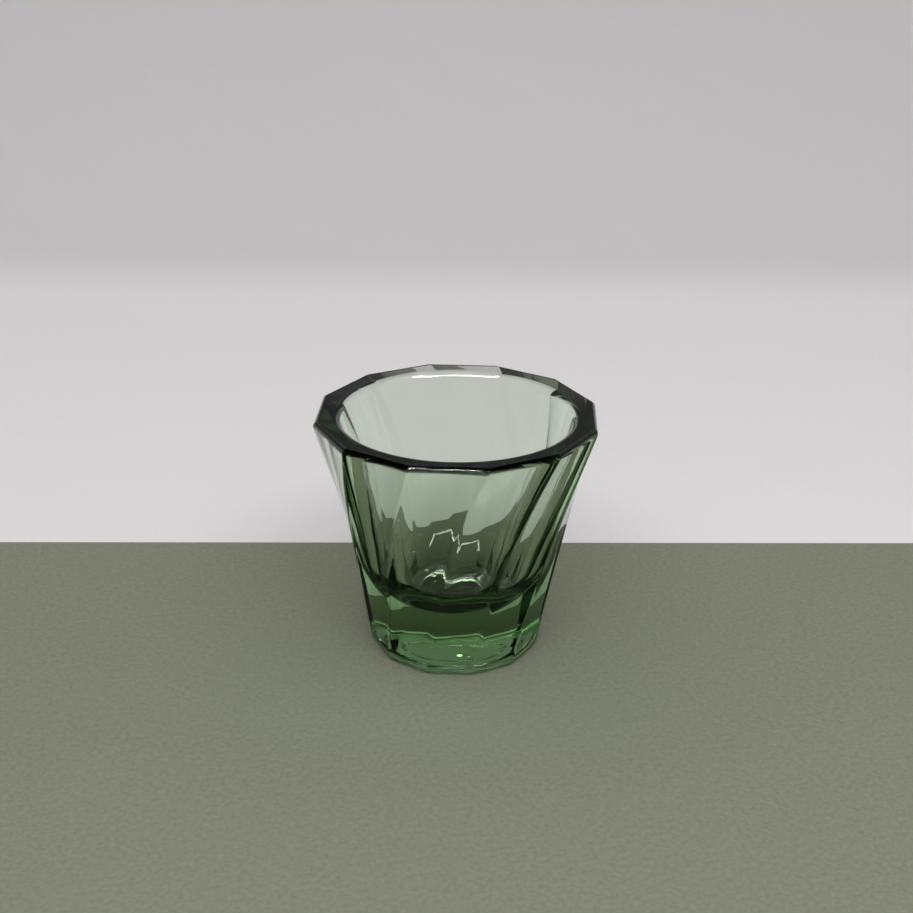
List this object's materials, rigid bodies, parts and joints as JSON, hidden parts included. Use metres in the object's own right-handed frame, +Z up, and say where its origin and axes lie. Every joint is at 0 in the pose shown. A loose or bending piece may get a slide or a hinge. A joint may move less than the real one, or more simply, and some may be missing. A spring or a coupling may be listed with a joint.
{
  "type": "drinking glass",
  "caption": "Small heavy-bottomed tumbler of pale green pressed glass: a tapered faceted cup with winding ridges, a smooth round hollow and a thick clear base, for a short drink.",
  "frame": {"origin": "on the glass's axis, on the surface that it stands on", "axes": "+Z is up along the axis of the glass, out of its mouth; ridges meet the rim on the X and Y axes"},
  "size_m": [0.0658, 0.0658, 0.058],
  "materials": {
    "green_glass": "fire-polished"
  },
  "bodies": {
    "root": {"tumbler": "green_glass"}
  },
  "joints": []
}
